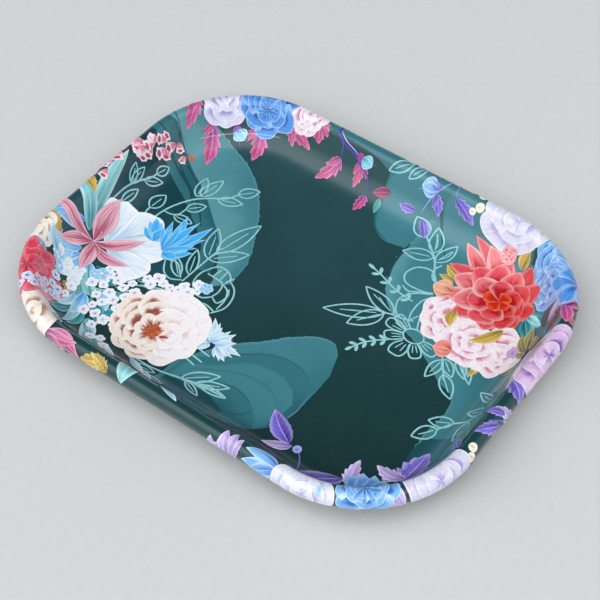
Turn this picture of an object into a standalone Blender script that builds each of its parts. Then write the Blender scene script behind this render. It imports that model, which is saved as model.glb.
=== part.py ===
"""Zhostovo painted tray: a pressed steel pan whose rim is rolled over a steel wire.

Metres, +Z up, the tray lies on z = 0 with its centre on the Z axis and its long side along X.
"""
import math

import bmesh
import bpy

# overall size, metres
LENGTH = 0.1800            # over the rim, along X
WIDTH = 0.1420             # over the rim, along Y
CORNER_RADIUS = 0.0440     # outside of the rim, seen from above
SHEET = 0.0008             # steel sheet thickness

# rim bead: the sheet rolled over the wire
BEAD_RADIUS = 0.0031       # outer radius of the roll
BEAD_FLANK = 0.0007        # short upright side between the two halves of the roll
WIRE_RADIUS = 0.0020
BEAD_HEIGHT = 0.0130       # centre of the upper half of the roll above the table
ROLL_END = math.radians(58)  # how far the roll turns back in below the wire

# side wall
WALL_SLOPE = math.radians(62)  # steepest part, measured from the floor
FILLET_RADIUS = 0.0135     # hollow curve between the wall and the floor, painted side

# smoothness
CORNER_STEPS = 14          # per quarter turn of the plan
ROLL_STEPS = 12            # over the top of the bead
CURL_STEPS = 8             # round the underside of the bead
FILLET_STEPS = 8
WIRE_SIDES = 12


def plan_ring(inset, height):
    """Points of the rim outline moved inward by inset, at one height, going round once."""
    half_x = LENGTH / 2 - CORNER_RADIUS
    half_y = WIDTH / 2 - CORNER_RADIUS
    radius = CORNER_RADIUS - inset
    points = []
    for quarter in range(4):
        sign_x = 1 if quarter in (0, 3) else -1
        sign_y = 1 if quarter in (0, 1) else -1
        for step in range(CORNER_STEPS + 1):
            angle = math.pi / 2 * (quarter + step / CORNER_STEPS)
            x = sign_x * half_x + radius * math.cos(angle)
            y = sign_y * half_y + radius * math.sin(angle)
            points.append((x, y, height))
    return points


def wall_profile():
    """Painted side of the sheet from the rolled end to the floor, as (inset, height) pairs."""
    path = []
    upper = (BEAD_RADIUS, BEAD_HEIGHT)
    lower = (BEAD_RADIUS, BEAD_HEIGHT - BEAD_FLANK)
    for step in range(CURL_STEPS + 1):
        angle = step / CURL_STEPS * (ROLL_END + math.pi / 2) - ROLL_END
        path.append((lower[0] - BEAD_RADIUS * math.sin(angle), lower[1] - BEAD_RADIUS * math.cos(angle)))
    for step in range(ROLL_STEPS + 1):
        angle = math.pi / 2 - step / ROLL_STEPS * (math.pi / 2 + WALL_SLOPE)
        path.append((upper[0] - BEAD_RADIUS * math.sin(angle), upper[1] + BEAD_RADIUS * math.cos(angle)))
    # straight part of the wall, then the hollow fillet down to the painted floor
    top_inset, top_height = path[-1]
    fillet_drop = FILLET_RADIUS * (1 - math.cos(WALL_SLOPE))
    straight = (top_height - SHEET - fillet_drop) / math.sin(WALL_SLOPE)
    floor_inset = top_inset + straight * math.cos(WALL_SLOPE) + FILLET_RADIUS * math.sin(WALL_SLOPE)
    path.append((top_inset + straight * math.cos(WALL_SLOPE), SHEET + fillet_drop))
    for step in range(1, FILLET_STEPS + 1):
        angle = WALL_SLOPE * (1 - step / FILLET_STEPS)
        path.append((floor_inset - FILLET_RADIUS * math.sin(angle),
                     SHEET + FILLET_RADIUS * (1 - math.cos(angle))))
    return path


def finish_mesh(name, mesh_data, collection, material):
    mesh = bpy.data.meshes.new(name)
    bmesh.ops.recalc_face_normals(mesh_data, faces=mesh_data.faces)
    mesh_data.to_mesh(mesh)
    mesh_data.free()
    mesh.shade_smooth()
    part = bpy.data.objects.new(name, mesh)
    collection.objects.link(part)
    mesh.materials.append(material)
    return part


def make_material(name, colour, metallic, roughness):
    material = bpy.data.materials.new(name)
    material.use_nodes = True
    shader = material.node_tree.nodes["Principled BSDF"]
    shader.inputs["Base Color"].default_value = (*colour, 1.0)
    shader.inputs["Metallic"].default_value = metallic
    shader.inputs["Roughness"].default_value = roughness
    return material


def build_pan(collection):
    """One pressed sheet: floor, fillet, wall and rolled rim, thickened away from the paint."""
    mesh_data = bmesh.new()
    rings = []
    for inset, height in wall_profile():
        rings.append([mesh_data.verts.new(point) for point in plan_ring(inset, height)])
    count = len(rings[0])
    for outer, inner in zip(rings, rings[1:]):
        for i in range(count):
            j = (i + 1) % count
            mesh_data.faces.new((outer[i], outer[j], inner[j], inner[i]))
    mesh_data.faces.new(rings[-1])
    pan = finish_mesh("tray_pan", mesh_data, collection,
                      make_material("painted_steel", (0.017, 0.061, 0.066), 0.0, 0.2))
    floor = max(pan.data.polygons, key=lambda face: len(face.vertices))
    if floor.normal.z < 0:
        pan.data.flip_normals()
    sheet = pan.modifiers.new("sheet_thickness", "SOLIDIFY")
    sheet.thickness = SHEET
    sheet.offset = -1.0
    sheet.use_even_offset = True
    return pan


def build_wire(collection):
    """Closed loop of round wire lying inside the roll."""
    path = bpy.data.curves.new("rim_wire_path", "CURVE")
    path.dimensions = "3D"
    path.bevel_depth = WIRE_RADIUS
    path.bevel_resolution = WIRE_SIDES // 4 - 1
    line = path.splines.new("POLY")
    points = plan_ring(BEAD_RADIUS, BEAD_HEIGHT - BEAD_FLANK / 2)
    line.points.add(len(points) - 1)
    for target, point in zip(line.points, points):
        target.co = (*point, 1.0)
    line.use_cyclic_u = True
    wire = bpy.data.objects.new("rim_wire", path)
    collection.objects.link(wire)
    path.materials.append(make_material("bare_steel", (0.45, 0.44, 0.42), 1.0, 0.4))
    return wire


def main():
    for leftover in list(bpy.data.objects):
        bpy.data.objects.remove(leftover, do_unlink=True)
    tray = bpy.data.collections.new("zhostovo_painted_tray")
    bpy.context.scene.collection.children.link(tray)
    build_pan(tray)
    build_wire(tray)


main()
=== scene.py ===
"""Looks of the Zhostovo painted tray: lacquered sheet, flower painting, line drawing and varnish.

All of the painting is laid out flat, in millimetres, on the sheet as it was before pressing, with the
centre of the floor as its origin. place() then lays any flat point on the pressed tray.
"""
import math
import random

import bpy
import numpy as np
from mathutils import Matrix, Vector


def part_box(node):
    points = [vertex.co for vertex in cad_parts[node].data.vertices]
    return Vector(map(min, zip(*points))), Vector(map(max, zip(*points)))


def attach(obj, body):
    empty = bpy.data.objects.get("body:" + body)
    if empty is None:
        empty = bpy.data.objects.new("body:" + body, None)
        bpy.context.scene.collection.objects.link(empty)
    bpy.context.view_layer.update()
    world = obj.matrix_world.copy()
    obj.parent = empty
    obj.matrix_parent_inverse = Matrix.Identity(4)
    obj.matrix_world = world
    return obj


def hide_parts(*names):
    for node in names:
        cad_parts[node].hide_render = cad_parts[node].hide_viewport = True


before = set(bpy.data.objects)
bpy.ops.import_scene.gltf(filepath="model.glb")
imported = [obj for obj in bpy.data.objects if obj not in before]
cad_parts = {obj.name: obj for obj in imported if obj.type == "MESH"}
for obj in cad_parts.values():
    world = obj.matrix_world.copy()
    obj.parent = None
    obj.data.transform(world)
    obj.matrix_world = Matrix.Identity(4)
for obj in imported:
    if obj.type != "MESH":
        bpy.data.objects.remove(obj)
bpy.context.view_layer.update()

# ------------ the pressed sheet, millimetres
pan_low, pan_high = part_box("tray_pan")
# the section is part.py's, repeated here in the same terms
HALF_LENGTH = (pan_high.x - pan_low.x) * 500
HALF_WIDTH = (pan_high.y - pan_low.y) * 500
HEIGHT = pan_high.z * 1000
SHEET = 0.8
CORNER_RADIUS = 44.0
BEAD_RADIUS = 3.1
BEAD_FLANK = 0.7
BEAD_HEIGHT = HEIGHT - BEAD_RADIUS
ROLL_END = math.radians(58)
WALL_SLOPE = math.radians(62)
FILLET_RADIUS = 13.5

WALL_TOP_INSET = BEAD_RADIUS * (1 + math.sin(WALL_SLOPE))
WALL_TOP = BEAD_HEIGHT + BEAD_RADIUS * math.cos(WALL_SLOPE)
FILLET_DROP = FILLET_RADIUS * (1 - math.cos(WALL_SLOPE))
WALL_LENGTH = (WALL_TOP - SHEET - FILLET_DROP) / math.sin(WALL_SLOPE)
FLOOR_INSET = WALL_TOP_INSET + WALL_LENGTH * math.cos(WALL_SLOPE) + FILLET_RADIUS * math.sin(WALL_SLOPE)
FLOOR_RADIUS = CORNER_RADIUS - FLOOR_INSET
CORNER_X = HALF_LENGTH - CORNER_RADIUS
CORNER_Y = HALF_WIDTH - CORNER_RADIUS

# distances along the sheet from the edge of the flat floor
RUN_FILLET = FILLET_RADIUS * WALL_SLOPE
RUN_WALL = RUN_FILLET + WALL_LENGTH
RUN_SIDE = RUN_WALL + BEAD_RADIUS * (WALL_SLOPE + math.pi / 2)
RUN_FLANK = RUN_SIDE + BEAD_FLANK
RUN_END = RUN_FLANK + BEAD_RADIUS * (math.pi / 2 + ROLL_END)
PAINT_END = RUN_FLANK + BEAD_RADIUS * math.radians(70)

LAYER = 0.004      # height of one level of the painting
APART = 0.11       # extra levels between strokes of one level, so that none coincide
LANES = 19         # strokes before those extra levels start again, a quarter of APART higher
WASH_STEP = 2.2    # levels from one wash to the next, enough for the steep rim
SHINGLE = 0.007    # how much one side of a petal stands over its neighbour
LEAST_HALF = 0.015     # half width kept at a blade's sharp ends
FAN_START = 0.015      # share of a fan's radius left open at its point
SPREAD_OVERLAP = 1.55  # a rose petal's spread in shares of its place in the ring


def profile(run):
    """Tilt of the painted side, inset from the rim and height at a distance from the floor's edge."""
    bead_angle = (run - RUN_WALL) / BEAD_RADIUS - WALL_SLOPE
    curl_angle = (run - RUN_FLANK) / BEAD_RADIUS + math.pi / 2
    parts = [run < RUN_FILLET, run < RUN_WALL, run < RUN_SIDE, run < RUN_FLANK]
    fillet_angle = run / FILLET_RADIUS
    along = run - RUN_FILLET
    side = math.pi / 2 + 0 * run
    tilt = np.select(parts, [-fillet_angle, -WALL_SLOPE + 0 * run, bead_angle, side], curl_angle)
    inset = np.select(parts, [
        FLOOR_INSET - FILLET_RADIUS * np.sin(fillet_angle),
        FLOOR_INSET - FILLET_RADIUS * math.sin(WALL_SLOPE) - along * math.cos(WALL_SLOPE),
        BEAD_RADIUS - BEAD_RADIUS * np.sin(bead_angle),
        0 * run,
    ], BEAD_RADIUS - BEAD_RADIUS * np.sin(curl_angle))
    height = np.select(parts, [
        SHEET + FILLET_RADIUS * (1 - np.cos(fillet_angle)),
        SHEET + FILLET_DROP + along * math.sin(WALL_SLOPE),
        BEAD_HEIGHT + BEAD_RADIUS * np.cos(bead_angle),
        BEAD_HEIGHT - (run - RUN_SIDE),
    ], BEAD_HEIGHT - BEAD_FLANK + BEAD_RADIUS * np.cos(curl_angle))
    return tilt, inset, height


def outward(points):
    """Distance of flat points beyond the floor's edge, and the direction away from it."""
    beyond_x = np.abs(points[..., 0]) - CORNER_X
    beyond_y = np.abs(points[..., 1]) - CORNER_Y
    corner = (beyond_x > 0) & (beyond_y > 0)
    reach = np.where(corner, np.hypot(beyond_x, beyond_y), np.maximum(beyond_x, beyond_y))
    length = np.where(corner, np.maximum(reach, 1e-9), 1.0)
    out_x = np.where(corner, beyond_x / length, beyond_x >= beyond_y) * np.sign(points[..., 0])
    out_y = np.where(corner, beyond_y / length, beyond_x < beyond_y) * np.sign(points[..., 1])
    return reach - FLOOR_RADIUS, np.stack([out_x, out_y], -1)


def place(points, lift=0.0, limit=PAINT_END):
    """Lays flat points on the pressed tray; gives places in metres and the painted side's normals."""
    beyond, away = outward(points)
    run = np.clip(beyond, 0, limit)
    tilt, inset, height = profile(run)
    shift = np.where(beyond > 0, FLOOR_INSET - inset - beyond, 0.0)
    normal = np.concatenate([away * np.sin(tilt)[..., None], np.cos(tilt)[..., None]], -1)
    plan = points + away * shift[..., None]
    spot = np.concatenate([plan, height[..., None]], -1) + normal * np.asarray(lift)[..., None]
    return spot / 1000, normal


# ------------ colours and node helpers
def colour(code, bright=1.0):
    """Linear colour of a six-digit code, with alpha 1."""
    values = [int(code[i:i + 2], 16) / 255 for i in (0, 2, 4)]
    linear = [v / 12.92 if v < 0.04045 else ((v + 0.055) / 1.055) ** 2.4 for v in values]
    return (*[min(1.0, v * bright) for v in linear], 1.0)


class Nodes:
    """Short ways to build a material's node tree."""

    def __init__(self, name):
        self.material = bpy.data.materials.new(name)
        self.material.use_nodes = True
        self.tree = self.material.node_tree
        self.shader = self.tree.nodes["Principled BSDF"]

    def feed(self, socket, value):
        if isinstance(value, bpy.types.NodeSocket):
            self.tree.links.new(value, socket)
        else:
            socket.default_value = value

    def math(self, operation, first, second=0.0, third=0.0):
        node = self.tree.nodes.new("ShaderNodeMath")
        node.operation = operation
        for socket, value in zip(node.inputs, (first, second, third)):
            self.feed(socket, value)
        return node.outputs[0]

    def ramp(self, value, low, high, to_low=0.0, to_high=1.0):
        node = self.tree.nodes.new("ShaderNodeMapRange")
        node.interpolation_type = "SMOOTHSTEP"
        for socket, item in zip(node.inputs, (value, low, high, to_low, to_high)):
            self.feed(socket, item)
        return node.outputs[0]

    def mix(self, share, first, second, blend="MIX"):
        node = self.tree.nodes.new("ShaderNodeMix")
        node.data_type = "RGBA"
        node.blend_type = blend
        self.feed(node.inputs["Factor"], share)
        self.feed(node.inputs[6], first)
        self.feed(node.inputs[7], second)
        return node.outputs[2]

    def vector(self, x, y, z):
        node = self.tree.nodes.new("ShaderNodeCombineXYZ")
        for socket, value in zip(node.inputs, (x, y, z)):
            self.feed(socket, value)
        return node.outputs[0]

    def split(self, vector):
        node = self.tree.nodes.new("ShaderNodeSeparateXYZ")
        self.feed(node.inputs[0], vector)
        return node.outputs

    def noise(self, vector, scale, detail=3.0, roughness=0.5):
        node = self.tree.nodes.new("ShaderNodeTexNoise")
        self.feed(node.inputs["Vector"], vector)
        node.inputs["Scale"].default_value = scale
        node.inputs["Detail"].default_value = detail
        node.inputs["Roughness"].default_value = roughness
        return node.outputs["Fac"]

    def attribute(self, name):
        node = self.tree.nodes.new("ShaderNodeAttribute")
        node.attribute_name = name
        return node.outputs

    def place(self):
        return self.tree.nodes.new("ShaderNodeTexCoord").outputs["Object"]

    def bump(self, height, strength, distance):
        node = self.tree.nodes.new("ShaderNodeBump")
        node.inputs["Strength"].default_value = strength
        node.inputs["Distance"].default_value = distance
        self.feed(node.inputs["Height"], height)
        self.tree.links.new(node.outputs[0], self.shader.inputs["Normal"])

    def base_colour(self, value):
        self.feed(self.shader.inputs["Base Color"], value)

    def stroke_place(self):
        """Places across and along a brush stroke, and how far a point lies from its middle line."""
        across, along = list(self.split(self.tree.nodes.new("ShaderNodeUVMap").outputs[0]))[:2]
        middle = self.math("ABSOLUTE", self.math("SUBTRACT", self.math("MULTIPLY", across, 2.0), 1.0))
        return across, along, middle

    def varnish(self, roughness, coat=1.0, coat_roughness=0.06):
        self.feed(self.shader.inputs["Roughness"], roughness)
        self.shader.inputs["Coat Weight"].default_value = coat
        self.shader.inputs["Coat Roughness"].default_value = coat_roughness
        self.shader.inputs["Specular IOR Level"].default_value = 0.1


# ------------ materials
def lacquer_material():
    """Dark teal lacquer, mottled by the brush, with a painted sheen: lighter and greyer towards the back of
    the floor, darker towards the front.
    """
    n = Nodes("teal_lacquer")
    spot = n.place()
    x, y, z = n.split(spot)
    drift = n.noise(spot, 9.0, 4.0, 0.6)
    cloud = n.noise(spot, 26.0, 5.0, 0.62)
    # painted sheen: base colour runs from lighter grey-teal at the back of the floor to darker teal at the
    # front
    sheen_slope = n.math("ADD", n.math("MULTIPLY", x, 2.4), n.math("MULTIPLY", y, -5.0))
    painted_sheen = n.ramp(n.math("ADD", sheen_slope, n.math("MULTIPLY", drift, 0.25)), -0.30, 0.62)
    base = n.mix(painted_sheen, colour("2a4e52"), colour("183638"))
    wall = n.ramp(z, 0.002, 0.006)
    base = n.mix(n.math("MULTIPLY", wall, 0.8), base, colour("15474a"))
    base = n.mix(n.ramp(cloud, 0.35, 0.75, 0.0, 0.35), base, colour("123436"))
    speck = n.noise(spot, 900.0, 2.0)
    base = n.mix(n.ramp(speck, 0.62, 0.8, 0.0, 0.18), base, colour("3f6f72"))
    n.base_colour(base)
    n.varnish(n.ramp(n.noise(spot, 60.0), 0.3, 0.7, 0.28, 0.40))
    n.bump(n.noise(spot, 420.0, 2.0), 0.05, 0.0002)
    return n.material


def paint_material():
    """Brushed petals and leaves: colour from root to tip, streaks, light edges, veins and a fine outline."""
    n = Nodes("flower_paint")
    root, tip, edge, traits = (n.attribute(name) for name in ("root", "tip", "edge", "traits"))
    streak, outline, seed = n.split(traits["Vector"])
    vein = traits["Alpha"]
    across, along, side = n.stroke_place()
    shift = n.math("MULTIPLY", seed, 61.0)
    broad = n.noise(n.vector(n.math("MULTIPLY", across, 5.0), n.math("MULTIPLY", along, 1.4), shift), 1.0)
    fine = n.noise(n.vector(n.math("MULTIPLY", across, 26.0), n.math("MULTIPLY", along, 2.2), shift), 1.0)
    reach = n.math("MULTIPLY_ADD", n.math("SUBTRACT", broad, 0.5), 1.1, along)
    body = n.mix(n.ramp(reach, -0.06, 0.58), root["Color"], tip["Color"])
    tone = n.math("MULTIPLY_ADD", n.math("MULTIPLY", n.math("SUBTRACT", fine, 0.5), streak), 1.5, 1.0)
    body = n.mix(1.0, body, n.vector(tone, tone, tone), "MULTIPLY")
    rim = n.math("MAXIMUM", side, n.math("MULTIPLY_ADD", along, 2.6, -1.6))
    glow = n.ramp(n.math("MULTIPLY_ADD", n.math("SUBTRACT", fine, 0.5), 0.5, rim), 0.45, 1.0, 0.0, 0.75)
    body = n.mix(glow, body, edge["Color"])
    half = n.ramp(across, 0.46, 0.54, -0.16, 0.16)
    half = n.math("MULTIPLY_ADD", half, vein, 1.0)
    body = n.mix(1.0, body, n.vector(half, half, half), "MULTIPLY")
    phase = n.math("FRACT", n.math("MULTIPLY_ADD", side, -1.5, n.math("MULTIPLY", along, 7.0)))
    rib = n.ramp(n.math("ABSOLUTE", n.math("SUBTRACT", phase, 0.5)), 0.06, 0.0, 0.0, 0.55)
    midrib = n.ramp(side, 0.10, 0.03, 0.0, 0.8)
    body = n.mix(n.math("MULTIPLY", n.math("MAXIMUM", rib, midrib), vein), body, edge["Color"])
    line = n.math("MULTIPLY", n.ramp(rim, 0.93, 0.985), outline)
    deep = n.mix(1.0, root["Color"], colour("a08890"), "MULTIPLY")
    body = n.mix(line, body, deep)
    n.base_colour(body)
    n.varnish(0.34)
    n.bump(fine, 0.10, 0.00015)
    return n.material


def drawing_material():
    """Pale opaque line paint, thicker and thinner along the stroke."""
    n = Nodes("line_paint")
    tip = n.attribute("tip")["Color"]
    load = n.noise(n.place(), 700.0, 3.0)
    n.base_colour(n.mix(n.ramp(load, 0.35, 0.75, 0.0, 0.35), tip, colour("5fa3a8")))
    n.varnish(0.36)
    n.bump(load, 0.08, 0.0001)
    return n.material


def wash_material():
    """Thin teal washes with darker pools, as if laid on wet."""
    n = Nodes("teal_wash")
    root, tip, edge = (n.attribute(name)["Color"] for name in ("root", "tip", "edge"))
    across, _, side = n.stroke_place()
    spot = n.place()
    cloud = n.noise(spot, 38.0, 5.0, 0.6)
    body = n.mix(n.ramp(n.math("MULTIPLY_ADD", n.math("SUBTRACT", cloud, 0.5), 1.6, across), 0.1, 0.9),
        root, tip)
    pool = n.ramp(n.noise(spot, 95.0, 4.0, 0.6), 0.52, 0.72, 0.0, 0.22)
    body = n.mix(pool, body, root)
    body = n.mix(n.ramp(side, 0.90, 1.0, 0.0, 0.55), body, edge)
    n.base_colour(body)
    n.varnish(0.34)
    return n.material


def back_material():
    """Plain black-green lacquer of the underside, brushed on and rubbed where it stands on the table."""
    n = Nodes("back_lacquer")
    spot = n.place()
    x, y, z = n.split(spot)
    brushed = n.noise(n.vector(n.math("MULTIPLY", x, 60.0), n.math("MULTIPLY", y, 900.0), z), 1.0, 3.0)
    mottled = n.noise(spot, 30.0, 4.0, 0.6)
    base = n.mix(n.ramp(brushed, 0.3, 0.7, 0.0, 0.5), colour("15292b"), colour("1d3638"))
    scuff = n.math("MULTIPLY", n.ramp(n.noise(spot, 240.0, 6.0, 0.7), 0.56, 0.66), n.ramp(z, 0.0006, 0.0001))
    base = n.mix(n.math("MULTIPLY", scuff, 0.5), base, colour("5b6a69"))
    n.base_colour(base)
    n.varnish(n.ramp(mottled, 0.3, 0.7, 0.32, 0.50), 0.5, 0.15)
    n.bump(brushed, 0.12, 0.0001)
    return n.material


def wire_material():
    """Drawn steel wire with a touch of rust."""
    n = Nodes("drawn_wire")
    spot = n.place()
    rust = n.ramp(n.noise(spot, 300.0, 5.0, 0.65), 0.58, 0.72, 0.0, 0.7)
    n.base_colour(n.mix(rust, colour("a9a7a2"), colour("6b4630")))
    n.feed(n.shader.inputs["Metallic"], 1.0)
    n.feed(n.shader.inputs["Roughness"], n.ramp(rust, 0.0, 0.7, 0.35, 0.8))
    return n.material


def floor_material():
    """Plain pale matt floor."""
    n = Nodes("studio_floor")
    grain = n.noise(n.place(), 400.0, 3.0)
    n.base_colour(n.mix(grain, colour("cdcdcc"), colour("d6d6d5")))
    n.shader.inputs["Roughness"].default_value = 0.85
    return n.material


# ------------ meshes
def make_piece(name, points, faces, normals, material):
    """A mesh piece of the object with its own smooth normals, riding on the tray."""
    mesh = bpy.data.meshes.new(name)
    mesh.from_pydata(points.tolist(), [], faces)
    mesh.materials.append(material)
    mesh.shade_smooth()
    mesh.normals_split_custom_set_from_vertices(normals.tolist())
    piece = bpy.data.objects.new(name, mesh)
    bpy.context.scene.collection.objects.link(piece)
    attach(piece, "root")
    return piece


def loop_points(beyond, corner_steps=40):
    """Flat points going once round the sheet at one distance beyond the floor's edge."""
    points = []
    for quarter in range(4):
        sign_x = 1 if quarter in (0, 3) else -1
        sign_y = 1 if quarter in (0, 1) else -1
        for step in range(corner_steps + 1):
            angle = math.pi / 2 * (quarter + step / corner_steps)
            radius = FLOOR_RADIUS + beyond
            points.append((sign_x * CORNER_X + radius * math.cos(angle),
                sign_y * CORNER_Y + radius * math.sin(angle)))
    return np.array(points)


def sheet_runs():
    """Distances at which the sheet is ringed: finest where it bends most."""
    return np.concatenate([
        np.linspace(0, RUN_FILLET, 22),
        np.linspace(RUN_FILLET, RUN_WALL, 5)[1:],
        np.linspace(RUN_WALL, RUN_SIDE, 30)[1:],
        np.linspace(RUN_SIDE, RUN_FLANK, 3)[1:],
        np.linspace(RUN_FLANK, RUN_END, 26)[1:],
    ])


def build_skins():
    """The sheet's painted face and its plain back, which together stand for the CAD pan."""
    rings = [loop_points(run + 1e-6) for run in sheet_runs()]
    count = len(rings[0])
    flat = np.concatenate(rings)
    strip = []
    for ring in range(len(rings) - 1):
        for i in range(count):
            j = (i + 1) % count
            strip.append((ring * count + i, ring * count + j, (ring + 1) * count + j, (ring + 1) * count + i))
    floor = tuple(range(count))
    face_points, normals = place(flat, 0.0, RUN_END)
    face = make_piece("painted_face", face_points, [floor] + [quad[::-1] for quad in strip], normals,
        lacquer_material())
    back_points, normals = place(flat, -SHEET, RUN_END)
    # the cut edge of the sheet closes the gap between face and back at the end of the roll
    last = (len(rings) - 1) * count
    edge_points = np.concatenate([back_points, face_points[last:]])
    edge = [(last + i, last + (i + 1) % count, last + count + (i + 1) % count, last + count + i)
        for i in range(count)]
    edge_normals = np.concatenate([-normals, -normals[last:]])
    back = make_piece("lacquered_back", edge_points, [floor[::-1]] + strip + edge, edge_normals,
        back_material())
    for piece in (face, back):
        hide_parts("tray_pan")


# ------------ painting
def fine_cell(points):
    """Size of the mesh cells a stroke needs: small where the sheet bends."""
    beyond = float(np.max(outward(np.asarray(points, float))[0]))
    for limit, cell in ((RUN_WALL, 0.26), (RUN_FILLET, 0.45), (0.0, 0.6)):
        if beyond > limit:
            return cell
    return 1.2


def turn(angle):
    """Matrix of a turn in the plane."""
    c, s = math.cos(angle), math.sin(angle)
    return np.array([[c, -s], [s, c]])


def heading(angle):
    """Unit step in a direction of the plane."""
    return np.array([math.cos(angle), math.sin(angle)])


def square_to(span):
    """A step turned a quarter to its left."""
    return np.array([-span[1], span[0]])


def bowed(root, tip, bend, share):
    """The point at a share of the way along a line that bows sideways by bend of its length."""
    span = tip - root
    return root + share * span + 4 * share * (1 - share) * bend * square_to(span)


def smooth(points, steps=8):
    """A smooth curve through the given points (Catmull-Rom)."""
    p = np.asarray(points, float)
    p = np.vstack([2 * p[0] - p[1], p, 2 * p[-1] - p[-2]])
    curve = []
    for a, b, c, d in zip(p, p[1:], p[2:], p[3:]):
        for t in np.arange(steps) / steps:
            curve.append(0.5 * (2 * b + (c - a) * t + (2 * a - 5 * b + 4 * c - d) * t * t
                + (3 * b - a - 3 * c + d) * t ** 3))
    curve.append(p[-2])
    return np.array(curve)


def even(curve, count):
    """The curve resampled to evenly spaced points."""
    lengths = np.concatenate([[0], np.cumsum(np.linalg.norm(np.diff(curve, axis=0), axis=1))])
    marks = np.linspace(0, lengths[-1], count)
    return np.stack([np.interp(marks, lengths, curve[:, 0]), np.interp(marks, lengths, curve[:, 1])], 1)


class Painting:
    """Strokes gathered into one piece. Every stroke is a small grid of flat points.

    A painting of a higher level lies over one of a lower level. Colours are six-digit codes.
    """

    def __init__(self, name, material, level, seed):
        self.name = name
        self.material = material
        self.level = level
        self.rand = random.Random(seed)
        self.flat, self.lift, self.uv, self.faces = [], [], [], []
        self.colours = {"root": [], "tip": [], "edge": [], "traits": []}
        self.count = 0

    def stroke(self, grid, root, tip, edge, streak=1.0, outline=0.5, vein=0.0, shingle=0.0, hidden=0.0,
            over=0.0):
        """Adds one stroke. streak, outline and vein are how strong its brush marks, edge line and veins are.

        hidden is the share of its length that lies under the next ring, and over lifts it by more levels.
        """
        rows, columns = grid.shape[:2]
        across = np.linspace(0, 1, columns)
        along = (np.linspace(0, 1, rows) - hidden) / (1 - hidden)
        u, v = np.meshgrid(across, along)
        self.flat.append(grid.reshape(-1, 2))
        drawn = len(self.flat)
        over = over + APART * (drawn % LANES + drawn // LANES % 4 / 4)
        self.lift.append(((self.level + over) * LAYER + shingle * (u - 0.5)).reshape(-1))
        self.uv.append(np.stack([u, v], -1).reshape(-1, 2))
        total = rows * columns
        traits = (streak, outline, self.rand.random(), vein)
        for key, value in zip(self.colours, (colour(root), colour(tip), colour(edge), traits)):
            self.colours[key].append(np.tile(np.asarray(value, float), (total, 1)))
        index = self.count + np.arange(total).reshape(rows, columns)
        quads = np.stack([index[:-1, :-1], index[:-1, 1:], index[1:, 1:], index[1:, :-1]], -1).reshape(-1, 4)
        down = grid[1:, 1:] - grid[:-1, :-1]
        up = grid[1:, :-1] - grid[:-1, 1:]
        turned = (up[..., 0] * down[..., 1] - up[..., 1] * down[..., 0]).reshape(-1)
        facing = -1 if turned.sum() < 0 else 1
        quads = quads if facing < 0 else quads[:, ::-1]
        self.faces.extend(quads[turned * facing > 0].tolist())
        self.count += total

    def step(self, levels=1):
        """Goes on above what is painted so far."""
        self.level += levels

    def finish(self):
        """Presses the flat strokes onto the tray as one piece."""
        flat = np.concatenate(self.flat)
        points, normals = place(flat, np.concatenate(self.lift))
        piece = make_piece(self.name, points, self.faces, normals, self.material)
        mesh = piece.data
        layer = mesh.uv_layers.new(name="stroke")
        corners = np.zeros(len(mesh.loops), np.int32)
        mesh.loops.foreach_get("vertex_index", corners)
        layer.data.foreach_set("uv", np.concatenate(self.uv)[corners].astype(np.float32).ravel())
        for name, values in self.colours.items():
            attribute = mesh.color_attributes.new(name, "FLOAT_COLOR", "POINT")
            attribute.data.foreach_set("color", np.concatenate(values).astype(np.float32).ravel())


def blade(root, tip, width, bend=0.0, peak=0.5, point=1.0, serrate=0.0, teeth=7):
    """Grid of a slender petal or leaf, widest at the share peak of its length and bowed by bend of it."""
    root, tip = np.asarray(root, float), np.asarray(tip, float)
    length = float(np.linalg.norm(tip - root))
    cell = fine_cell([root, tip])
    rows = int(min(90, max(10, length / cell * (2.0 if serrate else 1.2))))
    columns = int(min(36, max(4, width / cell)))
    v = np.linspace(0, 1, rows + 1)[:, None]
    u = np.linspace(-1, 1, columns + 1)[None, :]
    power = math.log(0.5) / math.log(peak)
    half = width / 2 * np.sin(math.pi * v ** power) ** point
    if serrate:
        saw = (v * teeth) % 1.0
        half = half * (1 - serrate * (1 - saw))
    half = np.maximum(half, LEAST_HALF)
    lean = square_to(tip - root) / length
    return bowed(root, tip, bend, v[..., None]) + (u * half)[..., None] * lean


def fan(centre, angle, spread, radius, wave, ruffle, rounding, view=None):
    """Grid of a broad round petal opening from a point. view squashes the flower as it is seen."""
    centre = np.asarray(centre, float)
    cell = fine_cell([centre + radius * heading(angle), centre])
    columns = int(min(72, max(10, radius * spread / cell)))
    rows = int(min(56, max(5, radius / cell)))
    u = np.linspace(-1, 1, columns + 1)[None, :]
    v = np.linspace(FAN_START, 1, rows + 1)[:, None]
    edge = 1 - rounding * np.abs(u) ** 2.6
    edge = edge + ruffle * (np.sin(u * 4.5 + wave) * 0.85 + np.sin(u * 11 + 2.3 * wave) * 0.15)
    reach = radius * v * edge
    theta = angle + u * spread / 2 * (1 - 0.15 * (1 - v))
    offset = np.stack([reach * np.cos(theta), reach * np.sin(theta)], -1)
    if view is not None:
        offset = offset @ view.T
    return centre + offset


def seen(squash, direction):
    """How a flower looks when it leans over: flattened along one direction."""
    r = turn(math.radians(direction))
    return r @ np.diag([squash, 1.0]) @ r.T


def ring(art, centre, count, radius, spread, turn_by, palette, ruffle, rounding=0.35, streak=0.8,
        outline=0.6):
    """One ring of round petals, each lying partly over the next."""
    for i in range(count):
        angle = math.radians(turn_by + 360 * i / count + art.rand.uniform(-6, 6))
        size = radius * art.rand.uniform(0.88, 1.12)
        wave = art.rand.uniform(0, 6)
        grid = fan(centre, angle, math.radians(spread), size, wave, ruffle, rounding)
        art.stroke(grid, *palette, streak, outline, 0.0, SHINGLE)
    art.step(2)


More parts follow.
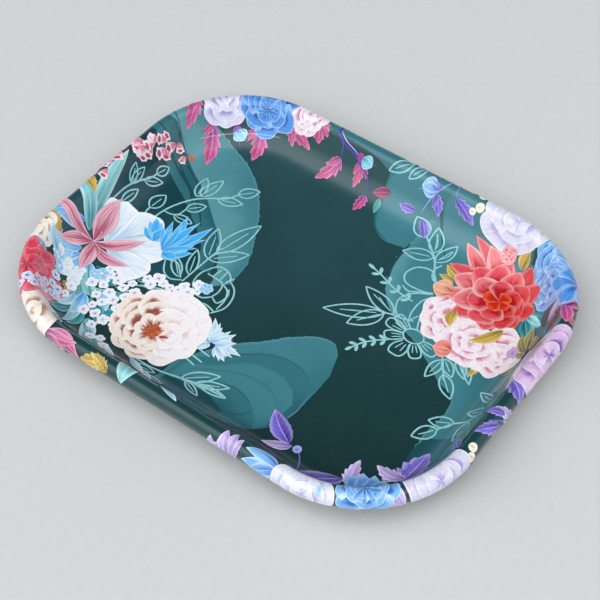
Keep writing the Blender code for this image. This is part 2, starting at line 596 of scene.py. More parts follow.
def spikes(art, centre, count, length, width, turn_by, palette, vary=0.15, arc=360.0):
    """One ring, or an arc in degrees, of pointed petals."""
    centre = np.asarray(centre, float)
    for i in range(count):
        angle = math.radians(turn_by + arc * i / count + art.rand.uniform(-7, 7))
        tip = centre + heading(angle) * length * art.rand.uniform(1 - vary, 1 + vary)
        breadth = width * art.rand.uniform(0.85, 1.15)
        curl = art.rand.uniform(-0.12, 0.12)
        art.stroke(blade(centre, tip, breadth, curl, 0.6, 0.8), *palette, 0.9, 0.6, 0.0, SHINGLE)
    art.step(2)


def dot(art, centre, radius, root, tip=None, squash=1.0, direction=0.0, outline=0.0, over=0.0):
    """A round touch of the brush; its ends overlap a little."""
    tip = tip or root
    grid = fan(centre, 0.0, 2 * math.pi * 1.06, radius, 0.0, 0.0, 0.0, seen(squash, direction))
    art.stroke(grid, root, tip, tip, 0.3, outline, over=over)


def leaf(art, root, tip, width, palette, bend=0.0, vein=1.0, serrate=0.0, teeth=7, peak=0.42, point=0.85):
    """A painted leaf with its veins."""
    art.stroke(blade(root, tip, width, bend, peak, point, serrate, teeth), *palette, 0.6, 0.25, vein)
    art.level += 0.3


def leaves(art, *rows):
    """Leaves given as (root, tip, width, palette, bend, vein, serrate, teeth, peak)."""
    for row in rows:
        leaf(art, *row)


def ribbon(art, points, width, code, ends=0.5):
    """A brush line through the points, thinner at its ends."""
    curve = smooth(points, 6)
    length = float(np.sum(np.linalg.norm(np.diff(curve, axis=0), axis=1)))
    cell = min(fine_cell(curve), 0.7)
    line = even(curve, int(max(5, length / cell)))
    direction = np.gradient(line, axis=0)
    direction /= np.maximum(np.linalg.norm(direction, axis=1, keepdims=True), 1e-9)
    side = np.stack([-direction[:, 1], direction[:, 0]], 1)
    share = np.linspace(0, 1, len(line))
    half = width / 2 * (1 - ends * np.abs(2 * share - 1) ** 3)
    u = np.linspace(-1, 1, 3)
    grid = line[:, None, :] + (u[None, :] * half[:, None])[..., None] * side[:, None, :]
    art.stroke(grid, code, code, code, 0.2, 0.0)


def draw(art, points, width=0.66):
    """One line of the pale line drawing."""
    ribbon(art, points, width, PALE_CYAN, 0.2)


def draw_lines(art, *lines):
    """Several lines of the drawing."""
    for line in lines:
        draw(art, line)


def outline_leaf(art, root, tip, width):
    """A leaf drawn only by its edge and midrib."""
    root, span = np.asarray(root, float), np.subtract(tip, root)
    lean = square_to(span) / np.linalg.norm(span)
    shares = (0, 0.10, 0.25, 0.42, 0.60, 0.78, 0.92, 1)
    fullness = (0, 0.52, 0.88, 1.0, 0.90, 0.60, 0.24, 0)
    for half in (-width / 2, width / 2):
        draw(art, [root + v * span + half * f * lean for v, f in zip(shares, fullness)])
    draw(art, [root + v * span for v in (0.12, 0.4, 0.72)], FINE_LINE)


def outline_leaves(art, *rows):
    """Drawn leaves given as (root, tip, width)."""
    for row in rows:
        outline_leaf(art, *row)


def wash(art, left, right, dark, light, edge, ragged):
    """A patch of thin colour between two edges, with a torn outline."""
    a, b = smooth(left), smooth(right)
    cell = max(0.45, fine_cell(np.vstack([a, b])))
    rows = int(max(len(a), np.linalg.norm(np.diff(a, axis=0), axis=1).sum() / cell))
    a, b = even(a, rows), even(b, rows)
    width = float(np.linalg.norm(a - b, axis=1).max())
    columns = int(max(26, width / cell))
    jitter = np.array([art.rand.uniform(-1, 1) for _ in range(rows)])
    tear = np.convolve(jitter, [0.25, 0.5, 0.25], "same") * ragged
    across = (b - a) / np.maximum(np.linalg.norm(b - a, axis=1, keepdims=True), 1e-6)
    a = a + across * tear[:, None]
    b = b + across * np.roll(tear, 5)[:, None]
    u = np.linspace(0, 1, columns)[None, :, None]
    art.stroke(a[:, None, :] * (1 - u) + b[:, None, :] * u, dark, light, edge, 0.0, 0.0)
    art.level += WASH_STEP


# ------------ kinds of flower
ROSE = ((6, 1.0), (5, 0.76), (4, 0.55), (4, 0.37), (3, 0.20))
CARNATION = ((6, 1.0), (5, 0.76), (4, 0.52), (3, 0.30))
RIM_ROSE = ((5, 1.0), (4, 0.68), (3, 0.38))


def rose(art, centre, radius, palette, view=None, spin=0.0, rings=ROSE, ruffle=0.04):
    """A double flower: rings of (count, share of the radius), each over the one before.

    spin turns the whole flower, in steps of 57 degrees.
    """
    for number, (count, share) in enumerate(rings):
        inner = rings[number + 1][1] if number + 1 < len(rings) else 0.0
        hidden = 0.90 * inner / share
        turn_by = spin * 57 + number * 180 / count + number * 23
        spread = math.radians(360 / count * SPREAD_OVERLAP)
        for i in range(count):
            angle = math.radians(turn_by + 360 * i / count + art.rand.uniform(-8, 8))
            size = radius * share * art.rand.uniform(0.9, 1.1)
            grid = fan(centre, angle, spread, size, art.rand.uniform(0, 6), ruffle, 0.26, view)
            art.stroke(grid, *palette, 0.3, 0.25, 0.0, SHINGLE, hidden)
        art.step(3)


def one_rose(name, level, seed, *flower):
    """A painting of a single rose on the rim."""
    art = Painting(name, PAINT, level, seed)
    rose(art, *flower)
    art.finish()


def bud(art, foot, tip, width, palette):
    """Three petals still folded over each other."""
    for bend, share in ((-0.28, 0.72), (0.28, 0.72), (0.0, 0.66)):
        art.stroke(blade(foot, tip, width * share, bend, 0.46, 0.7), *palette, 0.4, 0.3)
        art.level += 0.3


def blossom(art, centre, radius, palette, middle, spin=0.0, petals=5, heart=0.22):
    """A small flower of a few round petals, whiter towards their edges."""
    for i in range(petals):
        angle = math.radians(spin + 360 * i / petals)
        size = radius * art.rand.uniform(0.85, 1.1)
        art.stroke(fan(centre, angle, math.radians(430 / petals), size, i, 0.02, 0.34), *palette, 0.4,
            0.12, 0.0, SHINGLE)
    dot(art, centre, radius * heart, middle, over=1.5)


def bell(art, mouth, direction, size):
    """A small hanging bell flower, with its pale open mouth."""
    angle = math.radians(direction)
    axis = heading(angle)
    mouth = np.asarray(mouth, float)
    grid = blade(mouth - axis * size * 1.25, mouth + axis * size * 0.25, size * 1.15, 0.0, 0.66, 0.6)
    art.stroke(grid, *BELL, 0.8, 0.5)
    art.step()
    view = seen(0.62, direction)
    for i in range(5):
        petal = fan(mouth, angle + 2 * math.pi * i / 5, math.radians(84), size * 0.68, i, 0.03, 0.4, view)
        art.stroke(petal, *BELL_MOUTH, 0.4, 0.4, 0.0, SHINGLE)
    art.step()
    dot(art, mouth, size * 0.36, "8e1f45", "c2476b", 0.62, direction)


def cornflower(art, centre, tips, width, palette):
    """Jagged narrow petals spreading from one point to the given tips."""
    c = np.asarray(centre, float)
    lobes = ((0.50, 0.62, 0.5), (-0.50, 0.62, 0.5), (0.24, 0.84, 0.6), (-0.24, 0.80, 0.6), (0.0, 1.0, 0.8))
    for end in tips:
        span = np.asarray(end, float) - c
        for lean, reach, breadth in lobes:
            point = c + turn(lean) @ span * reach * art.rand.uniform(0.92, 1.05)
            grid = blade(c, point, width * breadth, art.rand.uniform(-0.06, 0.06), 0.50, 1.15)
            art.stroke(grid, *palette, 1.0, 0.1)
            art.level += 0.2
    art.step(2)


def twig(art, stem, rows):
    """A drawn stem with outline leaves given as (foot, tip, width)."""
    draw(art, stem, 0.78)
    outline_leaves(art, *rows)


def sprig(art, stem, leaf_size, pairs):
    """A drawn stem with small solid leaves in pairs, as one brush touch each."""
    draw(art, stem)
    line = even(smooth(stem), pairs * 4 + 1)
    for i in range(pairs):
        foot = line[i * 4 + 1]
        ahead = line[i * 4 + 3] - line[i * 4]
        ahead = ahead / np.linalg.norm(ahead) * leaf_size
        for side in (-0.8, 0.8):
            touch(art, foot, foot + turn(side) @ ahead, leaf_size * 0.42)
    touch(art, line[-2], line[-1] + ahead * 0.8, leaf_size * 0.42)


def touch(art, foot, tip, width):
    """One solid touch of the drawing's brush."""
    art.stroke(blade(foot, tip, width, 0.0, 0.6, 0.6), PALE_CYAN, PALE_CYAN, PALE_CYAN, 0.2, 0.0)


def stamens(art, centre, length, angles, code):
    """Fine threads with a dot at each end."""
    for angle in angles:
        end = centre + length * heading(math.radians(angle))
        ribbon(art, [centre, (centre + end) / 2 + 0.3, end], 0.22, code)
        dot(art, end, 0.22 * 1.1, code)


PAINT = paint_material()
LINE = drawing_material()
WASH = wash_material()

FINE_LINE = 0.45    # width of the drawing's thinnest lines
PALE_CYAN = "9bd3d6"

# palettes: colour at the root, at the tip, and along the light edge
CREAM = ("b8745c", "f8eadf", "fffaf5")
BLUSH = ("e2b4b6", "f9f2f2", "fffcfc")
DEEP_CREAM = ("9c4e3e", "f9e9de", "fffaf4")
LILY = ("a8365c", "e09fb0", "f3cdd5")
ICE = ("b4d3ee", "e6f1fb", "ffffff")
TURQUOISE = ("1a8fe0", "46b4f4", "b4e0fb")
CORNFLOWER = ("5aa9df", "c3e3f6", "ffffff")
LILAC_WHITE = ("968ed2", "d9d6ec", "f2f0fa")
PINK_WHITE = ("d67ba0", "f7e6eb", "fff8f9")
CORAL = ("b81a26", "e0525c", "f5aaaa")
CORAL_DEEP = ("ac1216", "d63c40", "ee8e8a")
CORAL_HEART = ("c8260e", "e04a2c", "ee8062")
CORAL_PALE = ("c02a34", "ea7a80", "fbcfcc")
RED = ("a3142f", "dd4058", "ee8c98")
BLUE = ("1c54b4", "4f93df", "b7d8f6")
SKY = ("2c66c4", "74b2ea", "d3e8fa")
VIOLET_ROSE = ("7a46ac", "dbbce0", "f3e2f2")
WHITE_LILAC = ("aeabdc", "dcdbec", "f0eff7")
MAGENTA_LEAF = ("7d3a92", "bd4580", "dd93b6")
VIOLET_LEAF = ("4438a0", "6f5fc4", "bcaee8")
LILAC_LEAF = ("7864b8", "b9a3dc", "e3d8f3")
TEAL_LEAF = ("12838a", "85c8cc", "cdeaea")
DEEP_TEAL_LEAF = ("135e66", "2c8a94", "79c0c6")
GOLD_LEAF = ("7f6a22", "bf9f44", "e6cf84")
OLIVE_LEAF = ("4d4424", "8f8450", "c9bd84")
DARK_LEAF = ("16272e", "2c4a50", "5f8585")
PALE_LEAF = ("57a7c8", "a9d5ea", "e4f4fb")
SNOW = ("b9c4ea", "f2f5fd", "ffffff")
FORGET = ("4a9fe4", "96cdf4", "e0f1fc")
BELL = ("c2476b", "e58fa6", "f7dfe6")
BELL_MOUTH = ("e79ab0", "f7dfe6", "ffffff")


# ------------ the picture, back to front
def paint_washes():
    """Dark pools, the bright crescent, the long lobe and the clouds of thin teal."""
    art = Painting("teal_washes", WASH, 3, 3)
    pale, light, mid = "5c979f", "42808a", "36727c"
    deep, dark, darker = "2b626c", "1f4c54", "17404a"
    # dark pool on the left, and the bright crescent over it
    wash(art, [(-97, 30), (-84, 28), (-72, 24), (-58, 17), (-46, 8), (-38, -2)],
        [(-97, -30), (-84, -30), (-70, -30), (-58, -28), (-46, -24), (-38, -18)], darker, dark, dark, 0.6)
    wash(art, [(-99, 38), (-88, 36), (-78, 31), (-66, 25), (-55, 18), (-46, 11), (-38, 4), (-33, -8)],
        [(-98, 27), (-88, 25), (-78, 22), (-67, 17), (-58, 11), (-49, 5), (-43, -1), (-38, -9)], deep,
        mid, dark, 0.35)
    wash(art, [(-97, 50), (-84, 50), (-74, 49.5), (-64, 47), (-55, 43.5), (-45, 36), (-36, 25), (-29, 13),
        (-24.5, 2), (-24, -8)], [(-100, 36), (-90, 37), (-80, 33), (-70, 28), (-60, 22), (-51, 15),
        (-42, 7), (-35, -1), (-31, -7), (-29, -13)], light, pale, "6aa5ab", 0.5)
    # long lobe from the peony towards the lower middle, in overlapping bands
    below = ((-18, -64), (-8, -64), (2, -63), (12, -60), (21, -54))
    bands = (([(-18, -46), (-7, -30), (1, -22), (10, -12.5), (17, -8), (22, -7.5), (26, -11)],
        [*below, (28, -43), (29, -32), (29, -20)], mid, light, pale),
        ([(-16, -44), (-8, -36.5), (1, -28.5), (8, -24), (15, -22.5), (22, -24), (27, -29)],
        [*below, (26.5, -47), (28.5, -38)], deep, mid, deep),
        ([(-14, -44), (-5, -39), (4, -31), (13, -29), (21, -31), (26, -37)], [*below, (25, -48)], deep,
        light, deep), ([(-12, -46), (-4, -41), (4, -37), (12, -36), (19, -38), (24, -43)],
        [*below, (24, -50)], mid, light, deep), ([(-12, -50), (-3, -45.5), (6, -43), (13, -44.5),
        (20, -50)], [*below, (21, -56)], deep, mid, dark))
    for upper, lower, first, second, edge in bands:
        wash(art, upper, lower, second, first, edge, 0.3)
    wash(art, [(-16, -53), (-6, -51), (2, -51), (9, -54)], [(-16, -70), (-6, -70), (2, -68), (9, -62)],
        dark, deep, dark, 0.3)
    # right: a broad cloud behind the bouquet, climbing the far wall
    wash(art, [(-3, 76), (-4, 66), (-3, 57), (-1, 50), (3, 45), (9, 42.5), (15, 45)],
        [(30, 76), (30, 68), (30, 62), (30, 56), (30, 50), (28, 46), (26, 44)], light, mid, deep, 0.4)
    wash(art, [(-40, 73), (-26, 73.5), (-12, 72), (-2, 68)], [(-44, 90), (-28, 90), (-12, 90), (-2, 90)],
        mid, light, mid, 0.3)
    wash(art, [(22, 76), (20, 68), (22, 62), (26, 55), (30, 50)],
        [(62, 76), (62, 68), (62, 60), (62, 54), (60, 50)], light, mid, deep, 0.3)
    wash(art, [(18, 60), (17, 52), (16.5, 44), (17, 36), (20, 27), (26, 19), (34, 13), (43, 10), (52, 5),
        (60, 0), (67, -3), (69, -12), (68, -22), (70, -33), (76, -42)],
        [(88, 62), (90, 54), (91, 46), (91, 38), (91, 30), (91, 22), (91, 15), (91, 9), (91, 3), (91, -3),
        (91, -10), (91, -17), (90, -24), (89, -32), (88, -42)], light, mid, pale, 0.4)
    wash(art, [(17.5, 45), (17, 37), (19.5, 28), (25, 20), (31, 15)],
        [(24, 41), (25, 36), (28, 29), (33, 22), (38, 16)], pale, light, pale, 0.3)
    wash(art, [(69, -22), (68.5, -30), (71, -38), (76, -44)],
        [(80, -18), (80, -26), (81, -34), (82, -42)], dark, deep, dark, 0.3)
    # darker seams where the wet edges met
    seams = (((-100, 44), (-90, 38), (-80, 33.5), (-70, 28), (-60, 22), (-51, 15), (-42, 7.5), (-35, -1)),
        ((-96, 31), (-84, 28), (-70, 23), (-58, 16), (-50, 8)), ((-76, 27), (-66, 21), (-60, 15)),
        ((-4, 64), (-3, 56), (-1, 50), (3, 45.4), (9, 43)), ((19, 69), (21, 63), (25, 56), (30, 50)),
        ((17, 47), (17, 40), (18, 33), (21, 26)), ((9, -52.5), (13, -52), (17, -48)))
    for number, line in enumerate(seams):
        ribbon(art, line, 0.7 + 0.2 * (number % 3), (deep, dark, dark)[number % 3], 0.6)
    art.finish()


def paint_left_drawing():
    """Line drawing round the white poppy and below the peony."""
    art = Painting("line_drawing_left", LINE, 46, 5)
    twig(art, [(-83.5, -6), (-83.5, 2), (-82, 8), (-79.8, 13), (-79.2, 17)],
        [((-79.2, 16.5), (-78, 22.5), 3.8), ((-80.5, 10.5), (-75.2, 16), 3.6),
        ((-83, 5), (-88.5, 11), 3.6), ((-83.2, 5), (-84.6, 13.5), 3.6), ((-80.2, -3), (-79.5, 6), 3.6)])
    draw(art, [(-80, -6), (-80, -4), (-80.2, -2)])
    twig(art, [(-67, -4), (-66.8, 3), (-65, 10), (-61, 17), (-56, 21.5), (-51, 25), (-48.5, 30)],
        [((-61, 19), (-63.8, 29), 4.4), ((-60, 20), (-58, 31.5), 4.8), ((-53.5, 22.5), (-44.5, 26), 4.4),
        ((-49, 29), (-43.3, 35.2), 5), ((-60, 11.5), (-54.8, 17.2), 4.4), ((-61.5, 6.3), (-53.5, 7), 3.6)])
    draw(art, [(-66.5, 6), (-63, 6.2), (-60.5, 8), (-60, 12)])
    twig(art, [(-68, -3), (-71, 1), (-71.4, 4)], [((-71.4, 4), (-70.6, 12.5), 5.2)])
    # the large drawn plant and the drawn rose beside the bright cornflower
    draw(art, [(-38.5, -17), (-38, -8), (-37.6, -1), (-37, 4)])
    outline_leaves(art, ((-38, -3), (-44, 11), 5.4), ((-37.2, 1), (-32.3, 21.5), 6.6),
        ((-37.5, -3), (-27, 7.5), 5.2), ((-38.6, -13), (-43.6, -1.8), 4), ((-41, -16), (-49, -8.6), 3.8))
    draw_lines(art, [(-50, -12.6), (-47, -17), (-43, -18.6), (-39, -16.6)],
        [(-55, -10), (-50, -12), (-46, -11), (-43, -13), (-40, -16)])
    draw_lines(art, ((-34, -6), (-32, -3.6), (-28, -3.6), (-25, -6), (-25.4, -9)),
        ((-31, -8.4), (-30.4, -4.4)), ((-28, -8.4), (-28, -4)), ((-25.6, -8), (-24, -5)),
        ((-34, -6), (-35.6, -10), (-35, -15), (-32, -18)),
        ((-25, -6.6), (-21, -9), (-18.8, -13), (-18.4, -18), (-21, -22.6)),
        ((-33.4, -8.6), (-29, -8.8), (-26, -9.4), (-24.8, -13), (-25.4, -16.4)),
        ((-25.2, -16.4), (-22, -17.6), (-21, -13), (-22.6, -10)),
        ((-26, -9.4), (-22.6, -11), (-20.6, -15), (-20.4, -20)),
        ((-25.4, -16.4), (-27.6, -18.6), (-30, -19)), ((-20.6, -21.4), (-23.4, -20.6), (-26, -20.4)))
    # twigs running down from the cream peony
    twig(art, [(-36, -52), (-28, -54), (-20, -53.5), (-11, -51), (-3, -49.2), (5, -48.6)],
        [((-11, -51), (-0.6, -42.5), 4.4), ((-6, -50), (5, -44.5), 3.2), ((-4, -49.5), (6.5, -48.6), 2.4),
        ((-9, -51), (-1.5, -54), 2.6)])
    twig(art, [(-34, -53), (-27, -57), (-20, -60), (-14, -66), (-11, -71)],
        [((-27, -57), (-19, -55.5), 3.6), ((-21, -60), (-13, -59.5), 3.4), ((-18, -62), (-19, -69), 3.2),
        ((-15, -65), (-8, -66), 3)])
    for y, reach in ((-38, -9), (-41.5, -9.5), (-44, -11)):
        draw(art, [(-18, y + 1), (-14, y + 0.6), (reach, y)])
    art.finish()


def paint_right_drawing():
    """Line drawing round the bouquet."""
    art = Painting("line_drawing_right", LINE, 46, 7)
    twig(art, [(36, 35), (32, 40), (29, 45), (24, 50), (19, 54), (15, 57)],
        [((26.5, 48.5), (22.2, 58.5), 5.4), ((29.3, 45), (32.2, 55.5), 4.8),
        ((27.5, 46.5), (16.6, 42.6), 5.6), ((20, 53), (12.6, 58.4), 6.2)])
    for foot, tip in (((26, 49.5), (22.8, 56)), ((29.6, 46.5), (31.8, 53))):
        draw(art, [foot, ((foot[0] + tip[0]) / 2 + 0.9, (foot[1] + tip[1]) / 2), tip], 0.45)
    # the big drawn flower under the bouquet
    heart = (38.5, 34)
    petals = (((36, 35.5), (31, 40.5), (25.5, 39), (23.6, 34), (26.5, 30.3), (33, 30.4), (37, 32)),
        ((37, 31.5), (33, 29.8), (29, 27.6), (26, 28.6)),
        ((36.5, 31), (31, 27.5), (28.6, 22), (31.8, 16.2), (36.5, 16.4), (38.4, 20)),
        ((37.5, 30), (35.5, 26), (35.6, 20), (37, 16)), ((38.5, 29), (38.6, 23), (40, 18), (41.5, 14.6)),
        ((36.8, 36.5), (33, 37.5), (31, 41.5), (32.2, 45)))
    draw_lines(art, *petals)
    dot(art, heart, 1.3, PALE_CYAN)
    # the smaller drawn flower with a round dark eye
    eye = np.array([42.2, 11.4])
    draw(art, [eye + turn(a) @ np.array([3.9, 0]) * np.array([1, 0.78])
        for a in np.linspace(0, 2 * math.pi, 15)])
    for angle, reach, spread in ((176, 11.5, 17), (214, 10.5, 17), (262, 12, 20), (304, 10.5, 18),
            (345, 11, 18), (152, 11, 14)):
        left, right = math.radians(angle - spread), math.radians(angle + spread)
        ribs = [(left, 0.36), (left, 0.72), (math.radians(angle - spread * 0.55), 0.98),
            (math.radians(angle), 1), (math.radians(angle + spread * 0.6), 0.95), (right, 0.70),
            (right, 0.36)]
        draw(art, [eye + reach * r * np.array([math.cos(a), 0.9 * math.sin(a)]) for a, r in ribs])
        for share in (-0.35, 0.35):
            a = math.radians(angle + spread * share)
            line = [eye + reach * r * np.array([math.cos(a), 0.9 * math.sin(a)]) for r in (0.42, 0.6, 0.76)]
            draw(art, line, 0.45)
    # long outline leaves to the left of it
    for foot, tip, width in (((31, 15.5), (15.8, 20.4), 5.6), ((28, 13.8), (9.2, 3.2), 6),
            ((28, 14), (20, 2.4), 6.4)):
        outline_leaf(art, foot, tip, width)
        foot, tip = np.array(foot), np.array(tip)
        draw(art, [foot + (tip - foot) * 0.25, foot + (tip - foot) * 0.6 + 0.6], 0.45)
    draw(art, [(38.5, 17), (34, 15.6), (30, 15), (27.5, 13.6)])
    sprig(art, [(33, 24.5), (28.5, 24.8), (23, 26), (17, 28.2), (13, 29.2)], 3.4, 4)
    sprig(art, [(36, 5), (32.5, 2), (29.5, -1.6), (27.6, -5.4)], 3.2, 4)
    twig(art, [(54, 12), (56, 8.5), (59, 4.5), (61, 1.5)],
        [((56, 8.6), (55, -1), 4), ((56.4, 9.4), (62.6, 4.2), 3.8), ((59.6, 3.4), (67.2, -3.9), 4.6),
        ((60, 12), (66.5, 6), 3.2), ((62, 14), (69, 5), 3)])
    # twig climbing the right wall
    twig(art, [(90, -3), (85, -7), (79, -10.5), (74, -12.5), (70.5, -17)],
        [((84, -1), (74.6, 3.8), 3.4), ((84, -6), (76, -6.5), 4), ((74, -12), (66, -15.4), 4.6),
        ((70.5, -17), (65, -24.2), 5.2), ((80, -11), (79.5, -20.5), 4.2), ((85, -8), (86, -18), 4)])
    # drawn leaf pair on the far wall
    twig(art, [(3, 82), (3.4, 78), (3, 75)], [((3, 76), (-4.6, 69.4), 4.4), ((8.5, 77), (4, 70), 3.6)])
    art.finish()


def paint_left_greenery():
    """Leaves, stems and grass under the left flowers."""
    art = Painting("leaves_left", PAINT, 50, 11)
    leaves(art, ((-81, -20), (-94, 12), 7, TEAL_LEAF, 0.06, 0.5),
        ((-80, -21), (-104, -9), 6.6, TEAL_LEAF, -0.08, 0.5),
        ((-84, -20), (-100, -27), 5, TURQUOISE, 0.1, 0.4), ((-83, -24), (-97, -30), 5, SKY, -0.1, 0.4),
        ((-88, -34), (-98, -28), 7, GOLD_LEAF, 0, 1, 0.34, 5),
        ((-84, -36), (-92, -30), 6.5, GOLD_LEAF, 0.05, 1, 0.34, 5),
        ((-98, -7), (-90, -11), 4.4, GOLD_LEAF, 0, 1, 0.34, 5),
        ((-103, -3), (-99, -8), 3.4, GOLD_LEAF, 0, 1, 0.34, 5))
    for foot, tip in (((-70, -42), (-64, -48)), ((-72, -44), (-63, -44)), ((-80, -46), (-78, -40))):
        leaf(art, foot, tip, 5, GOLD_LEAF, 0, 1, 0.34, 5)
    for foot, tip, width in (((-76, -30), (-84, -40), 6), ((-74, -30), (-75, -43), 7),
            ((-72, -30), (-67, -40), 6), ((-77, -28), (-92, -36), 6)):
        leaf(art, foot, tip, width, FORGET, 0.1, 0.3)
    leaves(art, ((-73, -33), (-57, -41), 6.4, TEAL_LEAF, -0.1, 0.5),
        ((-70, -38), (-58, -62), 5, TEAL_LEAF, 0.14, 0.5),
        ((-54, -47), (-44, -42), 6, DEEP_TEAL_LEAF, 0, 0.6),
        ((-58, -49), (-56, -60), 6, DEEP_TEAL_LEAF, 0, 0.6),
        ((-54, -50), (-47, -64), 6, PALE_LEAF, 0.1, 0.6),
        ((-50, -54), (-36, -66), 6.5, DEEP_TEAL_LEAF, -0.05, 0.6),
        ((-44, -56), (-30, -68), 4.5, PALE_LEAF, 0.08, 0.6),
        ((-62, -50), (-66, -62), 5, DEEP_TEAL_LEAF, 0, 0.6),
        ((-30, -55), (-18, -62), 3.4, PALE_LEAF, 0, 0.6),
        ((-22, -57), (-14, -70), 3.8, PALE_LEAF, 0.05, 0.6),
        ((-20, -70), (-19, -80), 7.5, TEAL_LEAF, 0, 0.6, 0, 7, 0.3),
        ((-9, -70), (2, -75), 3.2, PALE_LEAF, 0, 0.6),
        ((-27, -77), (-37, -80), 7, GOLD_LEAF, 0, 1, 0.34, 5),
        ((-25, -79), (-33, -76), 5.6, GOLD_LEAF, 0, 1, 0.34, 5))
    for foot, tip, width in (((-63, -42), (-60, -53), 6), ((-66, -44), (-67, -55), 6),
            ((-60, -38), (-51, -44), 5), ((-64, -34), (-56, -33), 4), ((-58, -43), (-50, -50), 5)):
        leaf(art, foot, tip, width, art.rand.choice((FORGET, DEEP_TEAL_LEAF, PALE_LEAF)), 0.08, 0.4)
    stems = (((-74, -26), (-69, -33), (-61, -41), (-52, -47)), ((-66, -33), (-56, -36), (-46, -30)),
        ((-62, -40), (-54, -36), (-47, -37)), ((-60, -41), (-56, -50), (-50, -56)),
        ((-68, -30), (-58, -28), (-48, -24)))
    for stem in stems:
        ribbon(art, stem, 0.7, "3fa79e")
    sweep = random.Random(4)
    for _ in range(26):
        x, y = sweep.uniform(-66, -46), sweep.uniform(-40, -24)
        ribbon(art, [(x, y), (x + 3, y + 0.8), (x + 7, y + 2.6)], 0.5, "9fd0d6")
    art.finish()


def paint_small_blossoms():
    """The sprays of tiny white and blue flowers."""
    art = Painting("small_blossoms_left", PAINT, 64, 13)
    white = ((-53, -24), (-49, -23.5), (-46, -21), (-43, -22), (-46.5, -25), (-40, -22), (-36, -18.5),
        (-33.5, -20), (-37, -21), (-32.5, -14.8), (-31, -17.6), (-58, -25.5), (-56, -28), (-61, -30),
        (-57, -30.5), (-52, -28.5), (-53.5, -32), (-48.5, -31.5), (-50, -35), (-56, -36.5), (-60, -35),
        (-48, -36), (-52.5, -38.5), (-55, -41.5), (-48.5, -40.5), (-57, -44.5), (-53.5, -47),
        (-49.5, -47.5), (-51, -51.5), (-58, -48), (-44, -55), (-47, -57), (-40, -58), (-61, -33),
        (-64, -36.5), (-45, -47), (-63, -28), (-68.5, -43), (-67.5, -47.5), (-68, -52), (-59, -40))
    for i, spot in enumerate(white):
        size = 1.9 + 0.6 * ((i * 7) % 5) / 4
        middle = ("c9b6ea", "b07fc4", "c2608f")[i % 3]
        blossom(art, spot, size, SNOW, middle, 31 * i, 4 + i % 2, 0.16)
        art.level += 0.12
    art.step(2)
    blue = ((-79, -34), (-76, -37), (-80, -39), (-73.5, -39.5), (-77, -41), (-83, -37), (-86, -35),
        (-71, -36), (-64, -31.5), (-88, -38), (-29, -14.5), (-70, -40), (-66, -33))
    for i, spot in enumerate(blue):
        blossom(art, spot, 2.2 + 0.5 * (i % 3), (FORGET, ICE)[i % 2], "f3f0d8", 23 * i, 5 - i % 2)
    art.finish()


def paint_poppy():
    """The big white flower under the lily."""
    art = Painting("white_poppy", PAINT, 74, 17)
    heart = (-72, -21)
    for angle, spread, radius in ((118, 40, 20), (20, 56, 20), (-6, 50, 21), (100, 44, 21), (40, 60, 25),
            (72, 46, 24)):
        art.stroke(fan(heart, math.radians(angle), math.radians(spread), radius, angle, 0.025, 0.22),
            *ICE, 0.25, 0.2, 0, SHINGLE, 0.25)
        art.step()
    for x, y in ((-60, -4), (-57, -10), (-66, -4), (-54, -17), (-72, -3), (-63, -12)):
        ribbon(art, [(-70, -18), ((-70 + x) / 2, (-18 + y) / 2 + 0.6), (x, y)], 0.4, "c3daef")
    art.finish()


def paint_cornflowers():
    """The bright cornflower and the pale one."""
    art = Painting("turquoise_cornflower", PAINT, 84, 19)
    cornflower(art, (-59.5, -8.5), ((-66.4, 2.4), (-60, -1)), 5.6, TURQUOISE)
    cornflower(art, (-53, -11), ((-46, 1.4), (-44, -4.6), (-47, -9.6)), 5.2, TURQUOISE)
    cornflower(art, (-54, -10), ((-57, 9), (-51.6, 8.2), (-45.6, 10.6)), 5, TURQUOISE)
    art.finish()
    art = Painting("pale_cornflower", PAINT, 68, 23)
    cornflower(art, (-13, -33), ((-18.6, -22.4), (-13.4, -25), (-7.2, -24.2), (-14.8, -38)), 3.6, CORNFLOWER)
    cornflower(art, (-10.5, -33), ((-0.6, -31.6), (-3, -37), (-5, -28)), 3.2, CORNFLOWER)
    leaf(art, (-19, -39), (-13.5, -33.5), 4, PALE_LEAF)
    art.finish()


def paint_lily():
    """The pink lily with its stamens."""
    art = Painting("pink_lily", PAINT, 94, 29)
    heart = np.array([-76, -22.6])
    petals = (((-103, -20.6), 5, 0.07), ((-71.8, -35.4), 6, 0.05), ((-57.6, -22.6), 4.8, -0.14),
        ((-61, -9.8), 5.6, -0.08), ((-86.6, -34.2), 5.6, -0.05), ((-81.2, -2.6), 9.4, 0.02))
    for tip, width, bend in petals:
        art.stroke(blade(heart, tip, width, bend, 0.48, 1.1), *LILY, 1.2, 0.35, 0.25, SHINGLE)
        art.step()
        ribbon(art, [bowed(heart, np.asarray(tip), bend, v) for v in (0, 0.4, 0.8)], 0.45, "a8466b", 0.8)
    art.step()
    stamens(art, heart, 5, (96, 70, 38, -20, -75, 200), "f3cdd6")
    dot(art, heart, 0.7, "c96f8b")
    art.finish()


def petal_ring(art, middle, petals, palette, hidden):
    """Broad petals given one by one as (direction in degrees, radius, spread in degrees)."""
    for angle, radius, spread in petals:
        grid = fan(middle, math.radians(angle), math.radians(spread), radius, angle, 0.035, 0.28)
        art.stroke(grid, *palette, 0.2, 0.35, 0, SHINGLE, hidden)
        art.level += 0.5
    art.step()


